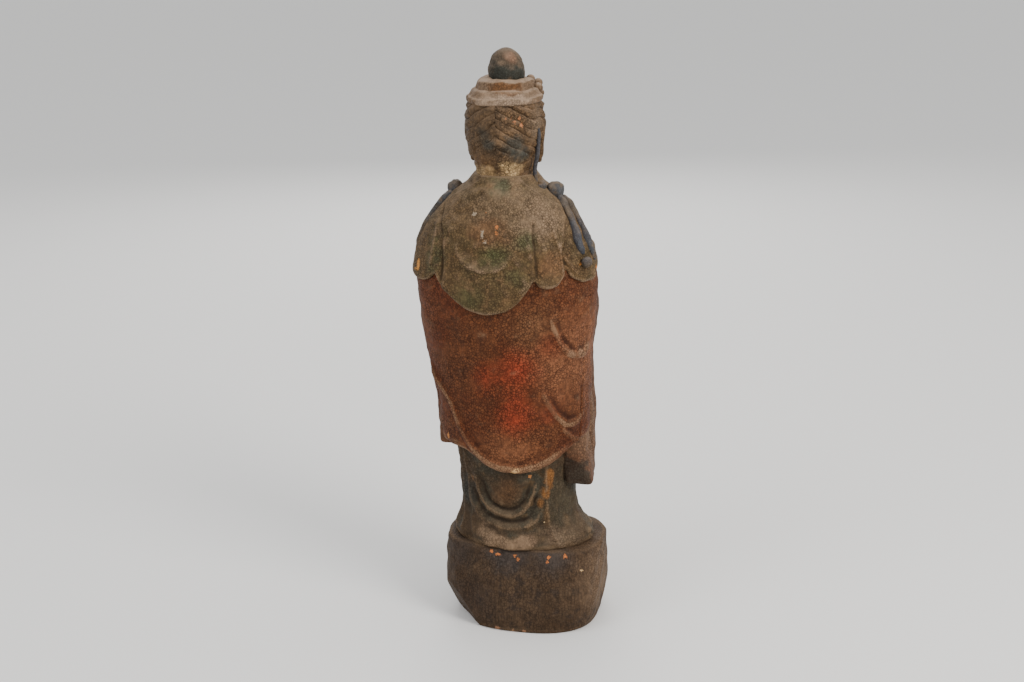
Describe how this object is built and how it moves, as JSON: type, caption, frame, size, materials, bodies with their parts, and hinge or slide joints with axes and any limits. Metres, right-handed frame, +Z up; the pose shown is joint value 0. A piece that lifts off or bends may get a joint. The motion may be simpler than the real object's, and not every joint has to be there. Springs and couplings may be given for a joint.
{
  "type": "carved wooden figure",
  "caption": "Standing robed figure in carved and painted wood, with a shoulder cape, long mantle, crowned head and topknot, on a rough oval pedestal.",
  "frame": {"origin": "centre of the pedestal's underside, on the surface that it stands on", "axes": "+Z up, the figure faces -Y, +X to the figure's own left"},
  "size_m": [0.1614, 0.1352, 0.5],
  "materials": {
    "pedestal_wood": "old dark matt paint, worn and dusty",
    "robe_lacquer": "dark blue-green paint, crackled",
    "mantle_lacquer": "red-brown paint, finely crackled, satin",
    "cape_lacquer": "green-brown paint, finely crackled, dusty",
    "hair_lacquer": "faded indigo paint, crackled",
    "crown_lacquer": "brown lacquer, worn to the ground layer",
    "skin_lacquer": "brown gold-toned lacquer, crackled",
    "bare_wood": "bare turned wood"
  },
  "bodies": {
    "root": {"pedestal": "pedestal_wood", "pedestal_pegs": "bare_wood", "trunk": "mantle_lacquer", "left_sleeve": "mantle_lacquer", "right_sleeve": "mantle_lacquer", "left_sleeve_pegs": "bare_wood", "right_sleeve_pegs": "bare_wood", "left_hand": "skin_lacquer", "right_hand": "skin_lacquer", "left_hand_peg": "bare_wood", "right_hand_peg": "bare_wood", "left_foot": "skin_lacquer", "right_foot": "skin_lacquer", "foot_pegs": "bare_wood", "head": "skin_lacquer", "neck_pin": "bare_wood", "crown": "crown_lacquer", "diadem": "crown_lacquer", "diadem_pegs": "bare_wood", "topknot": "hair_lacquer", "topknot_peg": "bare_wood", "left_lock": "hair_lacquer", "right_lock": "hair_lacquer", "shoulder_knots": "hair_lacquer", "elbow_studs": "hair_lacquer"}
  },
  "joints": []
}
